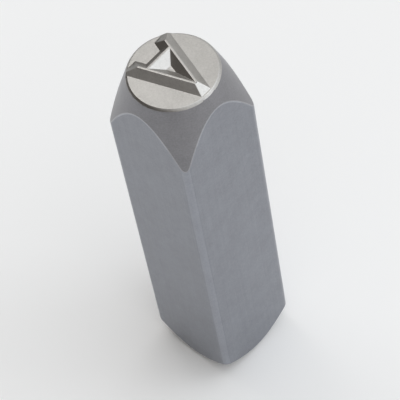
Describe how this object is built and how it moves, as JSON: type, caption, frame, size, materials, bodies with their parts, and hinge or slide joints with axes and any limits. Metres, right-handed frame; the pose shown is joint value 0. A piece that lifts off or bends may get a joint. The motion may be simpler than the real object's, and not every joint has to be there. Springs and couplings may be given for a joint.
{
  "type": "steel symbol stamp",
  "caption": "Hand stamp for marking metal: square steel shank, turned conical nose and a round face with one raised mirrored character.",
  "frame": {"origin": "centre of the struck end, on its flat", "axes": "+Z along the shank from the struck end to the character; the top of the character points to -Y and its feet to +Y; X across the character"},
  "size_m": [0.014, 0.014, 0.065],
  "materials": {
    "steel": "satin, bead-blasted tool steel"
  },
  "bodies": {
    "root": {"stamp": "steel"}
  },
  "joints": []
}
